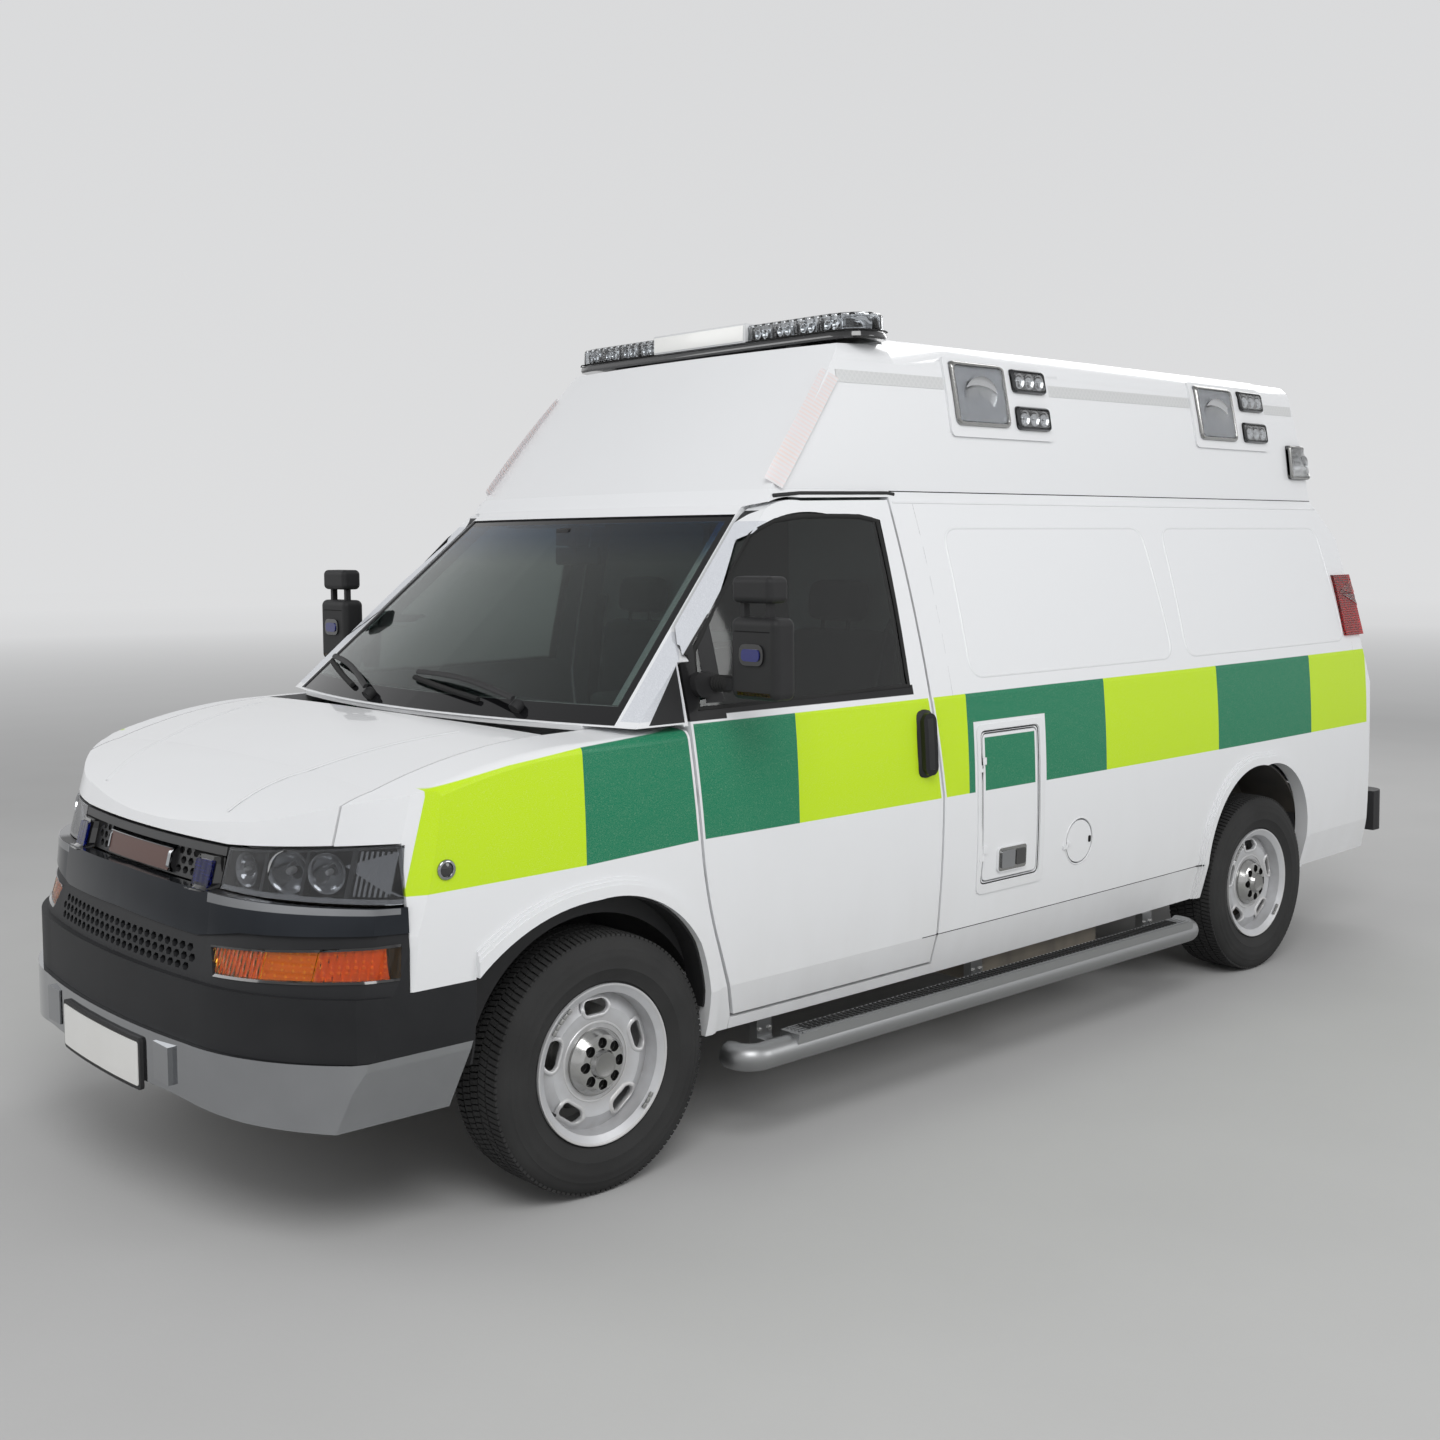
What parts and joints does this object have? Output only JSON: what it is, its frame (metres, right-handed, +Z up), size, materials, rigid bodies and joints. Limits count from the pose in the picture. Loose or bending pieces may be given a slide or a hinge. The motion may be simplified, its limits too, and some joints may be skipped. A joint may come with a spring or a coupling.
{
  "type": "ambulance",
  "caption": "High-roof van ambulance with a blank light bar, side scene lights, hinged cab and rear doors, side locker, running boards and steered front wheels.",
  "frame": {"origin": "middle of the footprint on the ground", "axes": "+X to the vehicle's left, +Y to its rear, +Z up; it faces -Y"},
  "size_m": [2.524, 5.6981, 2.539],
  "materials": {
    "black_plastic": "grained",
    "bright_trim": "polished",
    "chassis_iron": "black",
    "chassis_steel": "black",
    "glass": "tinted",
    "grey_plastic": "grained",
    "lamp_lens": "clear",
    "seat_fabric": "woven",
    "step_aluminium": "anodised",
    "tyre": "matt",
    "wheel_steel": "silver paint",
    "white_lining": "smooth",
    "white_paint": "gloss"
  },
  "bodies": {
    "chassis": {"black_trim": "black_plastic", "bumper_cover": "black_plastic", "cab_frame": "white_paint", "dashboard": "grey_plastic", "driveline": "chassis_iron", "fenders": "white_paint", "fitout": "white_lining", "floor_frame": "chassis_steel", "front_bumper": "bright_trim", "front_lamps": "lamp_lens", "grille": "black_plastic", "rear_bumper": "black_plastic", "roof_cap": "white_paint", "running_boards": "step_aluminium", "seats": "seat_fabric", "side_left": "white_paint", "side_right": "white_paint", "sliding_door": "white_paint", "suspension": "chassis_iron", "tail_lamps": "lamp_lens", "warning_lights": "lamp_lens", "windscreen": "glass"},
    "knuckle_left": {"knuckle_left": "chassis_iron"},
    "knuckle_right": {"knuckle_right": "chassis_iron"},
    "wheel_front_left": {"wheel_front_left": "wheel_steel", "tyre_front_left": "tyre"},
    "wheel_front_right": {"wheel_front_right": "wheel_steel", "tyre_front_right": "tyre"},
    "wheel_rear_left": {"wheel_rear_left": "wheel_steel", "tyre_rear_left": "tyre"},
    "wheel_rear_right": {"wheel_rear_right": "wheel_steel", "tyre_rear_right": "tyre"},
    "hood": {"hood": "white_paint"},
    "door_left": {"door_left": "white_paint", "door_left_glass": "glass", "mirror_left": "black_plastic"},
    "door_right": {"door_right": "white_paint", "door_right_glass": "glass", "mirror_right": "black_plastic"},
    "rear_door_left": {"rear_door_left": "white_paint", "rear_glass_left": "glass"},
    "rear_door_right": {"rear_door_right": "white_paint", "rear_glass_right": "glass"},
    "locker_door": {"locker_door": "white_paint"},
    "fuel_flap": {"fuel_flap": "white_paint"}
  },
  "joints": [
    {"name": "steer_left", "type": "hinge", "parent": "chassis", "child": "knuckle_left", "pos_m": [0.824, -1.846, 0.36], "axis": [0, 0, 1], "range_deg": [-35, 35]},
    {"name": "steer_right", "type": "hinge", "parent": "chassis", "child": "knuckle_right", "pos_m": [-0.824, -1.846, 0.36], "axis": [0, 0, 1], "range_deg": [-35, 35]},
    {"name": "spin_front_left", "type": "hinge", "parent": "knuckle_left", "child": "wheel_front_left", "pos_m": [0.874, -1.846, 0.36], "axis": [1, 0, 0], "continuous": true},
    {"name": "spin_front_right", "type": "hinge", "parent": "knuckle_right", "child": "wheel_front_right", "pos_m": [-0.874, -1.846, 0.36], "axis": [1, 0, 0], "continuous": true},
    {"name": "spin_rear_left", "type": "hinge", "parent": "chassis", "child": "wheel_rear_left", "pos_m": [0.852, 1.583, 0.36], "axis": [1, 0, 0], "continuous": true},
    {"name": "spin_rear_right", "type": "hinge", "parent": "chassis", "child": "wheel_rear_right", "pos_m": [-0.852, 1.583, 0.36], "axis": [1, 0, 0], "continuous": true},
    {"name": "hood_hinge", "type": "hinge", "parent": "chassis", "child": "hood", "pos_m": [0, -1.896, 1.198], "axis": [-1, 0, 0], "range_deg": [0, 50]},
    {"name": "door_left_hinge", "type": "hinge", "parent": "chassis", "child": "door_left", "pos_m": [0.984, -1.541, 0.948], "axis": [0, 0, -1], "range_deg": [0, 68]},
    {"name": "door_right_hinge", "type": "hinge", "parent": "chassis", "child": "door_right", "pos_m": [-0.984, -1.541, 0.948], "axis": [0, 0, 1], "range_deg": [0, 68]},
    {"name": "rear_door_left_hinge", "type": "hinge", "parent": "chassis", "child": "rear_door_left", "pos_m": [0.842, 2.699, 0.893], "axis": [0, 0, -1], "range_deg": [0, 90]},
    {"name": "rear_door_right_hinge", "type": "hinge", "parent": "chassis", "child": "rear_door_right", "pos_m": [-0.842, 2.699, 0.893], "axis": [0, 0, 1], "range_deg": [0, 90]},
    {"name": "locker_hinge", "type": "hinge", "parent": "chassis", "child": "locker_door", "pos_m": [1.003, -0.259, 0.883], "axis": [0, 0, -1], "range_deg": [0, 100]},
    {"name": "fuel_flap_hinge", "type": "hinge", "parent": "chassis", "child": "fuel_flap", "pos_m": [0.996, 0.216, 0.699], "axis": [0, 0, -1], "range_deg": [0, 90]}
  ],
  "couplings": [
    {"joint": "steer_right", "follows": "steer_left", "ratio": 1}
  ]
}
